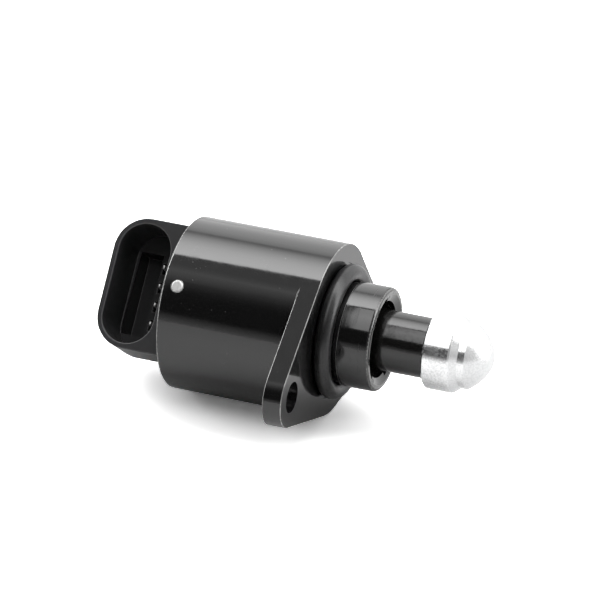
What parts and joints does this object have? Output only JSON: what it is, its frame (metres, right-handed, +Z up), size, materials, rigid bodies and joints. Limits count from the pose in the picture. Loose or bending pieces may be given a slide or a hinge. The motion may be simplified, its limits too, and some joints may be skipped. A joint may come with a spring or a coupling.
{
  "type": "idle air control valve",
  "caption": "Stepper-driven air valve: a flanged round can with a side-facing connector socket and a sliding tapered pintle in a keyed nose.",
  "frame": {"origin": "on the valve axis, in the plane of the flange's mounting face", "axes": "+X along the valve axis towards the pintle's tip, +Z up with the valve lying on its can and one ear"},
  "size_m": [0.0816, 0.0596, 0.036],
  "materials": {
    "can_paint": "gloss",
    "seal_rubber": "matte",
    "cover_plastic": "satin",
    "stake_metal": "satin",
    "terminal_metal": "polished",
    "stator_steel": "satin",
    "bobbin_plastic": "satin",
    "copper_wire": "gloss",
    "bright_steel": "polished",
    "bronze": "satin",
    "magnet": "satin",
    "hub_plastic": "satin",
    "sleeve_plastic": "gloss",
    "tip_aluminium": "polished"
  },
  "bodies": {
    "valve": {"housing": "can_paint", "mount_seal": "seal_rubber", "rear_cover": "cover_plastic", "cover_seal": "seal_rubber", "cover_pins": "stake_metal", "terminal_1": "terminal_metal", "terminal_2": "terminal_metal", "terminal_3": "terminal_metal", "terminal_4": "terminal_metal", "disc_spring": "bright_steel", "stator_cup_front": "stator_steel", "pole_plate_front": "stator_steel", "pole_plate_rear": "stator_steel", "stator_cup_rear": "stator_steel", "bobbin_front": "bobbin_plastic", "bobbin_rear": "bobbin_plastic", "winding_front": "copper_wire", "winding_rear": "copper_wire", "spring_seat": "bright_steel", "bearing_outer_ring": "bright_steel", "bearing_balls": "bright_steel", "bearing_cage": "bronze", "rear_bush": "bronze", "thrust_washer": "bronze", "preload_spring": "bright_steel"},
    "rotor": {"rotor_hub": "hub_plastic", "rotor_magnet": "magnet", "bearing_inner_ring": "bright_steel"},
    "pintle": {"lead_screw": "bright_steel", "pintle_sleeve": "sleeve_plastic", "pintle_tip": "tip_aluminium"}
  },
  "joints": [
    {"name": "rotor_spin", "type": "hinge", "parent": "valve", "child": "rotor", "pos_m": [-0.0196, 0, 0], "axis": [1, 0, 0], "range_deg": [-2880, 360]},
    {"name": "pintle_slide", "type": "slide", "parent": "valve", "child": "pintle", "axis": [1, 0, 0], "range_m": [-0.008, 0.001], "deforming": ["preload_spring"]}
  ],
  "couplings": [
    {"joint": "rotor_spin", "follows": "pintle_slide", "rad_per_m": 6283.2}
  ]
}
